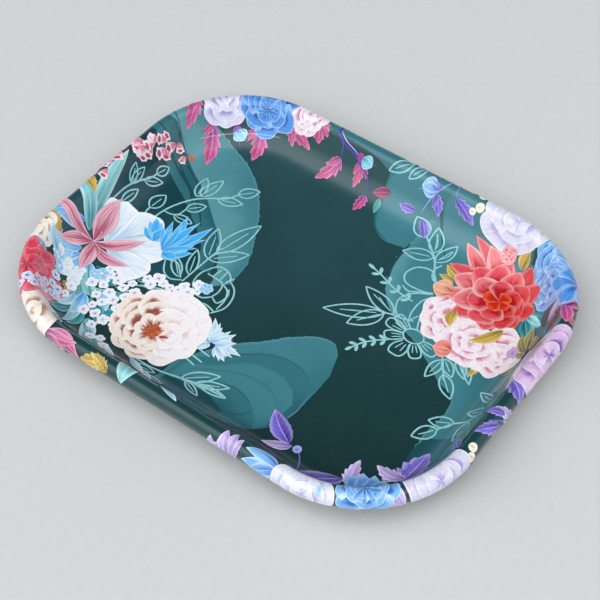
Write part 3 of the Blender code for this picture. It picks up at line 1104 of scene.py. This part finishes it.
def paint_cream_peony():
    """The largest flower, turned half away."""
    art = Painting("cream_peony", PAINT, 84, 31)
    heart = np.array([-32, -41])
    left, right, below = heart + (-1, 0.4), heart + (0.8, 0.6), heart + (0, -0.6)
    # broad pale petals to the right and above, warm nested ones to the left and below
    petal_ring(art, left, ((-118, 14.4, 70), (-72, 14.6, 66), (-160, 15.6, 70), (160, 17.4, 66)), CREAM, 0.79)
    petal_ring(art, right, ((118, 19.4, 66), (-34, 15.8, 70), (80, 20.8, 70), (2, 16.6, 74),
        (44, 19.6, 76)), BLUSH, 0.62)
    petal_ring(art, left, ((-96, 12.4, 84), (-150, 12.8, 86), (-50, 12.4, 70), (166, 13.8, 80),
        (120, 15.6, 74)), DEEP_CREAM, 0.75)
    petal_ring(art, right, ((-18, 13, 80), (84, 17.2, 84), (34, 14.8, 100)), BLUSH, 0.56)
    petal_ring(art, left, ((-122, 9.8, 100), (-60, 9.8, 80), (172, 10.6, 100), (122, 12.4, 76)),
        DEEP_CREAM, 0.68)
    petal_ring(art, right, ((0, 10.2, 90), (72, 12.6, 100), (30, 8.6, 90)), BLUSH, 0.44)
    # burgundy hollows between the inner petals, then the stamens
    for foot, tip, width in (((-37, -40.6), (-34.6, -31.8), 1.7), ((-36.5, -42), (-38, -46.4), 1.4),
            ((-33, -45), (-27, -46), 1.4), ((-30, -41), (-32.6, -35.6), 1.7),
            ((-28.5, -42), (-25.2, -40.4), 1.3)):
        art.stroke(blade(foot, tip, width, 0.12, 0.45, 0.7), "6a2026", "a4534c", "bd7868", 0.4, 0.1)
    art.step()
    petal_ring(art, below, ((184, 6.8, 80), (246, 7.2, 84), (312, 7, 80), (52, 6.4, 70), (96, 8.8, 60),
        (140, 8.4, 60)), DEEP_CREAM, 0.42)
    dot(art, heart, 2.9, "8a3030", "ad5044")
    art.step()
    spikes(art, heart, 13, 3.5, 0.9, 10, ("a8382a", "d2622f", "eca75c"))
    art.finish()


def paint_bells():
    """Sprays of bell flowers on the left wall."""
    art = Painting("bell_flowers", PAINT, 68, 37)
    bells = ((-88.5, 29, 100, 2.6), (-80, 31, -30, 2.2), (-76.5, 28.5, -70, 1.8), (-84, 27, -100, 2.8),
        (-89.5, 25, -120, 2.6), (-82, 24, -50, 2.6), (-85, 22, -110, 2.9), (-92, 22, -140, 2.4),
        (-90.5, 18.5, -100, 2.9), (-87.5, 17, -60, 2.7), (-92, 14, -110, 3), (-88, 14.5, -60, 2.4),
        (-97, 16, -150, 3.2), (-101, 20, 160, 3), (-95, 6, -60, 3), (-100, 9, -160, 3),
        (-97, 1, -100, 3.2), (-93, -4, -80, 2.2), (-101, -1, 180, 2.6), (-103, 28, 150, 2.8))
    ribbon(art, [(-75, 33), (-82, 31), (-88, 26), (-92, 18), (-96, 8), (-96, -2)], 0.5, "7c3f58")
    art.step()
    for x, y, direction, size in bells:
        bell(art, (x, y), direction, size * 1.35)
        art.level -= 2
    art.step(3)
    dot(art, (-74.8, 32.6), 1.4, "b23c22", "d9653a", 0.8, 90, 0.4)
    art.finish()


def paint_top_left():
    """Jagged leaves and a budding twig of the far left rim."""
    art = Painting("magenta_leaves", PAINT, 50, 41)
    for foot, tip, width, bend in (((-61, 60), (-56.2, 46.5), 7.6, 0.05), ((-63, 59), (-63, 53), 4.5, 0),
            ((-78, 49), (-68.8, 34), 8, 0.06), ((-78, 49), (-78, 43), 4.6, 0),
            ((-53, 68), (-38.5, 62), 8, 0.05), ((-50, 68), (-46, 60), 5.4, 0),
            ((-90, 54), (-84.5, 38.5), 7.5, -0.04), ((-38, 73), (-36, 66), 7, 0),
            ((-38, 75), (-33, 70), 5.5, 0), ((-25, 65), (-31, 53.2), 7.6, 0.05),
            ((-25, 65), (-29.5, 60), 4, 0), ((-16, 66), (-15.6, 57), 4.8, 0),
            ((-17, 67), (-18, 61.5), 2.8, 0), ((-14, 66), (-12.4, 62), 2.4, 0),
            ((-9.4, 56.5), (-9.8, 48.4), 5.2, 0), ((-95, 57), (-88, 47), 7, 0.05)):
        leaf(art, foot, tip, width, MAGENTA_LEAF, bend, 1, 0.42, 4, 0.40, 0.8)
    leaves(art, ((-1, 62), (-7.6, 58.8), 5, ("5e1f45", "8d2c5a", "b86a8d"), 0, 1, 0.2, 5),
        ((-4, 58), (-2.6, 51.5), 2.6, ("3a8a80", "4c9c96", "7fbdb8")))
    ribbon(art, [(-34, 82), (-30, 78), (-29, 74), (-25.5, 71), (-20, 69), (-16, 66), (-12.5, 63.5),
        (-10.5, 60.5), (-9.4, 58.4)], 1, "4a3fa6", 0.75)
    ribbon(art, [(-29, 75), (-25, 72.2), (-20, 70.2), (-17.5, 68.4)], 0.45, "c4b8ee", 0.8)
    ribbon(art, [(-27, 72.5), (-25.6, 69.5), (-25, 65)], 0.5, "5b54a8", 0.6)
    ribbon(art, [(-30, 77.5), (-24, 79.5), (-18, 78.6)], 0.6, "5a4fb4", 0.8)
    dot(art, (-17, 68.8), 2, "8a2f7c", "a4448c", 0.8, 20)
    art.step()
    bud(art, (-16.4, 69), (-11.6, 67.4), 5, ("2f8fb4", "7fd0e0", "d0f2f4"))
    ribbon(art, [(-12, 68.8), (-10, 68.4)], 0.3, "a4448c")
    dot(art, (-68.6, 53.6), 2.2, "7a3fa0", "9a58b8", 0.8, 10)
    art.step()
    bud(art, (-69, 53.8), (-64, 52.2), 5, ("3f98c4", "9ad8ea", "dcf4f8"))
    ribbon(art, [(-65, 52.6), (-62, 52.6)], 0.3, "8a5fb0")
    ribbon(art, [(-66, 51), (-64, 49.4)], 0.3, "8a5fb0")
    art.finish()


def paint_top_roses():
    """The three roses on the far left rim."""
    one_rose("white_rose_top", 64, 43, (-81, 62), 13.5, LILAC_WHITE, seen(0.85, 40), 0.4, CARNATION, 0.06)
    one_rose("blush_rose_top", 64, 47, (-44, 75), 9, ("c079a8", "f2dfe8", "ffffff"), None, 1.1, CARNATION,
        0.08)
    art = Painting("blue_peony_top", PAINT, 78, 53)
    rose(art, (-63, 69), 13.5, BLUE, seen(0.9, 90), 0.9, CARNATION, 0.09)
    spikes(art, (-62, 68), 9, 5, 1.6, 10, ("123f94", "3f86d8", "9cc8f2"))
    art.finish()


def paint_far_wall():
    """Violet twig and white rose of the far wall."""
    art = Painting("violet_leaves_far", PAINT, 48, 59)
    for foot, tip, width in (((16, 70), (20, 61.8), 5), ((24, 71.5), (34, 65), 6.4),
            ((11, 60), (4, 59.6), 4.6), ((15, 58.5), (19.6, 52), 5), ((17, 69.5), (16.4, 64), 3)):
        leaf(art, foot, tip, width, VIOLET_LEAF, 0.04, 1, 0.36, 4, 0.45)
    ribbon(art, [(16, 82), (19.5, 77), (18.4, 73.4), (15.6, 69), (14, 64), (13.4, 60.4)], 0.7, "7f9fd8", 0.6)
    ribbon(art, [(22, 82), (23, 76), (24, 72)], 0.4, "8f86d4", 0.5)
    dot(art, (15.2, 72), 2, "4a3fb0", "7f74d4", 0.8, 0)
    art.step()
    bud(art, (16.4, 71.4), (9.8, 70.4), 6.4, ("4a5fd0", "8fbff0", "dcecfb"))
    ribbon(art, [(10.6, 69), (9, 68.4)], 0.35, "8f9fe0")
    for x, y, size in ((34, 72.4, 1.9), (31.8, 70, 1.5), (32.6, 77.5, 1.9), (29.5, 79, 1.6)):
        dot(art, (x, y), size, "c9c39a", "f6f3de", 0.9, 0, 0.3)
    art.finish()
    one_rose("white_rose_far", 64, 61, (50, 74), 15.5, WHITE_LILAC, seen(0.85, 90), 0.2, RIM_ROSE, 0.04)


def paint_right_bouquet():
    """The blue peonies and the carnations behind the dahlia."""
    art = Painting("blue_peony_right", PAINT, 54, 67)
    rose(art, (75, 63), 14.5, SKY, seen(0.9, 45), 0.5, CARNATION, 0.08)
    rose(art, (74, 55), 9, ("4a4fb8", "7fa8e4", "cfe2f8"), None, 1.3, RIM_ROSE, 0.08)
    ring(art, (87, 58), 6, 11, 70, 20, BLUE, 0.08)
    art.finish()
    art = Painting("carnations", PAINT, 58, 71)
    rose(art, (70, 22), 11.5, PINK_WHITE, seen(0.95, 20), 0.7, CARNATION, 0.07)
    rose(art, (48.5, 25.5), 12.5, PINK_WHITE, seen(0.92, 30), 0.1, CARNATION, 0.08)
    rose(art, (60, 20), 10, PINK_WHITE, None, 2.1, RIM_ROSE, 0.08)
    art.finish()


def paint_bouquet_leaves():
    """Leaves round the bouquet, and the violet rose on the rim beside it."""
    art = Painting("bouquet_leaves", PAINT, 52, 73)
    leaves(art, ((58, 58), (60, 66), 5.6, GOLD_LEAF, 0.1), ((41, 43), (33.4, 46.6), 4, GOLD_LEAF, 0.05),
        ((40, 40), (35, 42), 3.4, GOLD_LEAF), ((40, 41), (33.5, 41), 3, GOLD_LEAF),
        ((69, 47), (78, 43), 7, DEEP_TEAL_LEAF, 0.1), ((69, 42), (78, 39), 6, TEAL_LEAF, -0.1),
        ((70, 40), (76, 32), 5, DEEP_TEAL_LEAF), ((80, 38), (78, 50), 4, DARK_LEAF, 0.1),
        ((84, 36), (88, 50), 6, DARK_LEAF, -0.1), ((82, 40), (84, 52), 4, LILAC_LEAF),
        ((84, 44), (92, 42), 4, DARK_LEAF), ((76, 14), (80, 18), 6, OLIVE_LEAF),
        ((66, 16), (66.5, 7.5), 3, GOLD_LEAF, 0.1), ((88, 44), (96, 56), 7, MAGENTA_LEAF, 0.1),
        ((88, 46), (93, 38), 5, MAGENTA_LEAF, 0.1))
    dot(art, (94.6, 40.4), 1.6, "7a3c48", "b4747c")
    ribbon(art, [(84, 30), (86, 38), (89, 46), (95, 54)], 0.9, "24343c")
    art.finish()
    one_rose("violet_rose_rim", 70, 79, (96, 21), 17, VIOLET_ROSE, seen(0.8, 0), 0.3, RIM_ROSE, 0.06)


def paint_coral_dahlia():
    """The coral flower in the middle of the bouquet."""
    art = Painting("coral_dahlia", PAINT, 88, 83)
    heart = np.array([58, 42.5])
    # three sheaves of broad petals, the outer one uneven, then the glowing middle
    sheaves = ((((34.6, 58.4), 7), ((36.4, 62.4), 6), ((33.8, 47.4), 7.6), ((43, 61.6), 8.6),
        ((52.6, 60.4), 8), ((62.6, 60.6), 9), ((38.6, 35.6), 9), ((46.6, 28.2), 9), ((60, 28), 11),
        ((68.6, 35.4), 10.5), ((71.6, 45), 10), ((69.6, 54.6), 9)),
        (((38.2, 43.6), 11), ((42.6, 51.6), 11.5), ((50.4, 57.4), 11), ((43.6, 33.6), 11),
        ((53, 29.6), 11.5), ((64.6, 31.8), 11), ((67.6, 42), 10.5), ((65, 52.6), 11), ((58.4, 57.2), 10)),
        (((46, 47.6), 11), ((47.6, 37), 11), ((57, 33), 10.5), ((64.4, 38.4), 9.5), ((62.8, 49), 9.5),
        ((54, 51.6), 9.5)), (((51.4, 42), 6), ((56.6, 37.4), 6), ((62, 40.6), 5.4), ((60, 46.8), 5.4)))
    for number, sheaf in enumerate(sheaves):
        for count, (tip, width) in enumerate(sheaf):
            tone = CORAL_DEEP if tip[0] > 60 else (CORAL_PALE, CORAL, CORAL)[count % 3]
            if number == 3:
                tone = CORAL_HEART
            bend = art.rand.uniform(-0.10, 0.10)
            art.stroke(blade(heart, tip, width, bend, 0.62, 0.95 - 0.1 * number, 0.06, 3), *tone, 0.7,
                0.2, 0, SHINGLE, 0.55)
            art.level += 0.5
    art.finish()


def paint_bouquet_buds():
    """Buds and leaves that lie over the bouquet."""
    art = Painting("bouquet_buds", PAINT, 116, 89)
    leaves(art, ((66, 32), (58.5, 21), 4.6, GOLD_LEAF, 0.1), ((48, 30), (50, 22.5), 4.2, GOLD_LEAF, -0.15))
    rose(art, (51.4, 61), 3.6, ("c2475c", "ee9a9c", "f9cfc9"), None, 0, RIM_ROSE)
    bud(art, (42.4, 36.6), (34.6, 35.2), 6.4, ("c85a3c", "eeaa8c", "f8d9c6"))
    bud(art, (56.4, 14), (50, 11.4), 5.8, ("c4492f", "ee8f80", "f6c0b4"))
    leaves(art, ((80, 26), (75.4, 38.4), 4.8, OLIVE_LEAF, 0.08),
        ((82, 26), (79, 34), 4.4, OLIVE_LEAF, -0.1), ((80, 25), (73, 33.6), 3.4, OLIVE_LEAF, 0.1))
    dot(art, (74.4, 24.6), 2.6, "9a6bb4", "cfa9dc", 0.8, 0)
    leaf(art, (81, 23), (76, 24), 3.4, OLIVE_LEAF)
    art.finish()


def paint_right_rim():
    """Violet leaves of the right and near rim."""
    art = Painting("violet_leaves_right", PAINT, 54, 97)
    for foot, tip, width, palette in (((90, 6), (99, -1), 8, VIOLET_LEAF),
            ((104, -6), (93, -7.6), 6, LILAC_LEAF), ((97, -8), (90, -10), 4, VIOLET_LEAF),
            ((98, -12), (92.6, -20), 5.4, VIOLET_LEAF), ((92, -28), (82, -20), 6, VIOLET_LEAF),
            ((75, -44), (74.6, -27), 12, VIOLET_LEAF), ((75, -42), (62.6, -40.4), 7, LILAC_LEAF),
            ((60, -54), (57.2, -42), 6.4, LILAC_LEAF)):
        leaf(art, foot, tip, width, palette, 0.04, 1, 0.34, 5)
    ribbon(art, [(104, -5), (100, -7), (97, -11), (94, -14)], 0.5, "6f66c8", 0.4)
    leaves(art, ((57, -52), (50, -73), 11, VIOLET_LEAF, -0.16, 1, 0.08, 8),
        ((34.6, -50.4), (22.6, -42.2), 7.4, VIOLET_LEAF, 0.06, 1, 0.08, 6),
        ((36, -51), (27, -56.2), 4.6, LILAC_LEAF, 0.06, 1, 0.08, 5))
    ribbon(art, [(33, -50.4), (36, -51), (39, -51.6), (42, -55), (45, -62), (48.5, -70), (50, -74)], 0.6,
        "6a74b8", 0.6)
    dot(art, (38.2, -51), 1.7, "5f66c4", "a8b4ea", 0.9, 0)
    for x, y, size in ((95.6, -25.4, 1.7), (97.4, -28.4, 1.9), (101, -27, 1.6)):
        dot(art, (x, y), size, "c9c39a", "f6f3de", 0.9, 0, 0.3)
    for foot, tip, width in (((25, -84), (22.6, -73.5), 5.4), ((26, -84), (29, -73.6), 4.4),
            ((26, -84), (26, -72), 4), ((20, -85), (18.4, -78), 4.4), ((19, -85), (21.4, -79), 3.4)):
        leaf(art, foot, tip, width, LILAC_LEAF, 0, 1, 0.1, 5)
    for foot, tip, width in (((44, -76), (31, -75.6), 4.4), ((44, -80), (31, -79.6), 5.4),
            ((44, -77), (34, -84), 5.4)):
        leaf(art, foot, tip, width, SKY, -0.08, 0.4)
    for foot, tip, width in (((74, -70), (76, -80), 5), ((84, -60), (90, -66), 6.4),
            ((80, -57), (91, -60), 4), ((72, -72), (80, -76), 4)):
        leaf(art, foot, tip, width, LILAC_LEAF)
    art.finish()


def paint_near_flowers():
    """The blue flower and the two white roses of the near right rim."""
    art = Painting("blue_flower_near", PAINT, 64, 101)
    for tip in ((57.6, -48.4), (60.8, -45.6), (64.6, -44.2), (68.6, -44.4), (71.6, -46)):
        art.stroke(blade((72, -62), tip, 6.4, 0, 0.7, 1.1, 0.14, 4), *BLUE, 0.8, 0.3)
    art.step(2)
    rose(art, (74, -63), 12.5, SKY, seen(0.9, -45), 0.4, ROSE, 0.10)
    spikes(art, (74, -64), 9, 6, 2, 20, BLUE)
    art.finish()
    art = Painting("white_rose_near", PAINT, 64, 103)
    rose(art, (56, -79), 13, WHITE_LILAC, seen(0.9, 90), 0.8, RIM_ROSE, 0.05)
    dot(art, (61, -74.5), 1.8, "5b9be0", "9fd0f4", 0.6, 20)
    art.finish()
    one_rose("white_rose_rim", 64, 107, (94, -44), 15, LILAC_WHITE, seen(0.9, -20), 1.4, RIM_ROSE, 0.05)


def paint_left_rim():
    """Cream roses of the left and near left rim."""
    art = Painting("cream_flowers_left", PAINT, 68, 109)
    rose(art, (-95, -41), 10.5, ("a5845f", "f2eadc", "fffaf0"), seen(0.9, 20), 0.5, RIM_ROSE, 0.08)
    for foot, tip, width, bend in (((-82, -38), (-92, -33), 4, 0.1), ((-80, -42), (-87, -50), 5, 0.2),
            ((-84, -44), (-97, -51), 5, -0.1)):
        leaf(art, foot, tip, width, PALE_LEAF, bend, 0.5)
    rose(art, (-65, -74), 13, ("b98668", "f5e8de", "fffaf4"), seen(0.9, 60), 0.9, RIM_ROSE, 0.06)
    art.finish()


def paint_red_dahlia():
    """The red flower of the near left corner, with its small blossoms and the tulip."""
    art = Painting("red_dahlia", PAINT, 100, 113)
    heart = np.array([-83, -58])
    ring(art, heart, 9, 15.5, 56, 10, RED, 0.12, 0.30, 1, 0.7)
    ring(art, heart, 8, 11.5, 56, 30, RED, 0.12, 0.30, 1, 0.7)
    ring(art, heart, 7, 7.5, 60, 0, RED, 0.12, 0.30, 1, 0.7)
    spikes(art, heart + np.array([9, 5]), 6, 8, 4, -30, RED, 0.1, 120)
    art.step(2)
    pale = ("7f9fe0", "c9dcf6", "ffffff")
    for i, spot in enumerate(((-75, -45.5), (-73, -50), (-70, -54), (-74.5, -54), (-76.5, -58),
            (-72, -58.5), (-70, -49.5), (-68.4, -53), (-79, -62), (-75, -62.5), (-83, -66), (-88, -65),
            (-79, -66))):
        blossom(art, spot, 2.3, pale, "5a66b8", 41 * i)
    art.finish()
    art = Painting("magenta_tulip", PAINT, 68, 127)
    for foot, tip, width, bend in (((-54, -78), (-37, -80.5), 6.6, 0.1),
            ((-54, -77), (-40, -76), 4.6, -0.1), ((-54, -79), (-43, -83), 6, 0)):
        leaf(art, foot, tip, width, ("6f2a66", "b25486", "e6a9c0"), bend)
    art.finish()


def paint_picture():
    """All of the painting, back to front."""
    paint_washes()
    paint_left_drawing()
    paint_right_drawing()
    paint_left_greenery()
    paint_small_blossoms()
    paint_poppy()
    paint_cornflowers()
    paint_bells()
    paint_lily()
    paint_left_rim()
    paint_red_dahlia()
    paint_cream_peony()
    paint_top_left()
    paint_top_roses()
    paint_far_wall()
    paint_right_bouquet()
    paint_bouquet_leaves()
    paint_coral_dahlia()
    paint_bouquet_buds()
    paint_right_rim()
    paint_near_flowers()


# ------------ studio
AZIMUTH = math.radians(36.67)
ELEVATION = math.radians(48.82)
CAMERA_DISTANCE = 0.5323
FOCAL_WIDTHS = 2.546         # focal length in image widths
SHIFT_X, SHIFT_Y = 0.0058, -0.0354
ROOM_LIGHT = 0.68
SKY_LIGHT = 2.15
FLAG_LIGHT = 0.06
SENSOR = 36                  # millimetres
FLOOR_REACH = 3.0
FLOOR_TOP = -0.0002          # just under the tray, so that the two never share a plane


def aim(thing, spot, target):
    """Puts a lamp or camera in its place, turned towards the target."""
    thing.location = spot
    thing.rotation_mode = "QUATERNION"
    thing.rotation_quaternion = (Vector(target) - Vector(spot)).to_track_quat("-Z", "Y")


def direction_of(azimuth, elevation):
    """Direction from the tray, with azimuth 0 towards -Y."""
    return Vector((math.sin(azimuth) * math.cos(elevation), -math.cos(azimuth) * math.cos(elevation),
        math.sin(elevation)))


def add_light(name, azimuth, elevation, distance, size, power):
    """A rectangular lamp facing the tray, placed by degrees and metres."""
    lamp = bpy.data.lights.new(name, "AREA")
    lamp.shape = "RECTANGLE"
    lamp.size, lamp.size_y = size
    lamp.energy = power
    holder = bpy.data.objects.new(name, lamp)
    bpy.context.scene.collection.objects.link(holder)
    aim(holder, direction_of(math.radians(azimuth), math.radians(elevation)) * distance, (0, 0, 0.01))


def studio_world():
    """Soft surroundings: a bright patch overhead, and a dark flag that the flat floor mirrors."""
    world = bpy.data.worlds.new("studio")
    world.use_nodes = True
    tree = world.node_tree
    background = tree.nodes["Background"]
    background.inputs["Color"].default_value = (0.94, 0.97, 1.0, 1)
    spot = tree.nodes.new("ShaderNodeTexCoord").outputs["Generated"]
    level = None
    overhead = direction_of(math.radians(-10), math.radians(66))
    mirrored = direction_of(AZIMUTH + math.pi, ELEVATION)
    patches = ((overhead, 0.45, 1.0, ROOM_LIGHT, SKY_LIGHT), (mirrored, 0.60, 0.93, 1.0, FLAG_LIGHT))
    for direction, start, end, base, peak in patches:
        toward = tree.nodes.new("ShaderNodeVectorMath")
        toward.operation = "DOT_PRODUCT"
        toward.inputs[1].default_value = direction
        tree.links.new(spot, toward.inputs[0])
        patch = tree.nodes.new("ShaderNodeMapRange")
        patch.interpolation_type = "SMOOTHSTEP"
        for socket, value in zip(list(patch.inputs)[1:5], (start, end, base, peak)):
            socket.default_value = value
        tree.links.new(toward.outputs["Value"], patch.inputs[0])
        if level is not None:
            both = tree.nodes.new("ShaderNodeMath")
            both.operation = "MULTIPLY"
            tree.links.new(level, both.inputs[0])
            tree.links.new(patch.outputs[0], both.inputs[1])
            tree.links.new(both.outputs[0], background.inputs["Strength"])
        level = patch.outputs[0]
    return world


def build_studio():
    """Floor, surroundings, one strip light for the rim, and the camera."""
    mesh = bpy.data.meshes.new("studio_floor")
    corners = [(x * FLOOR_REACH, y * FLOOR_REACH, FLOOR_TOP) for x, y in ((-1, -1), (1, -1), (1, 1), (-1, 1))]
    mesh.from_pydata(corners, [], [(0, 1, 2, 3)])
    mesh.materials.append(floor_material())
    floor = bpy.data.objects.new("studio_floor", mesh)
    bpy.context.scene.collection.objects.link(floor)
    bpy.context.scene.world = studio_world()
    add_light("front_strip", 36, 47, 0.8, (1.40, 0.06), 1.3)
    camera = bpy.data.cameras.new("camera")
    camera.sensor_width = SENSOR
    camera.lens = SENSOR * FOCAL_WIDTHS
    camera.shift_x, camera.shift_y = SHIFT_X, SHIFT_Y
    camera.clip_start = 0.01
    holder = bpy.data.objects.new("camera", camera)
    bpy.context.scene.collection.objects.link(holder)
    centre = Vector((0, 0, BEAD_HEIGHT / 1000))
    aim(holder, centre + direction_of(AZIMUTH, ELEVATION) * CAMERA_DISTANCE, centre)
    bpy.context.scene.camera = holder
    bpy.context.scene.view_settings.view_transform = "Standard"


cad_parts["rim_wire"].data.materials.clear()
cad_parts["rim_wire"].data.materials.append(wire_material())
build_skins()
paint_picture()
build_studio()
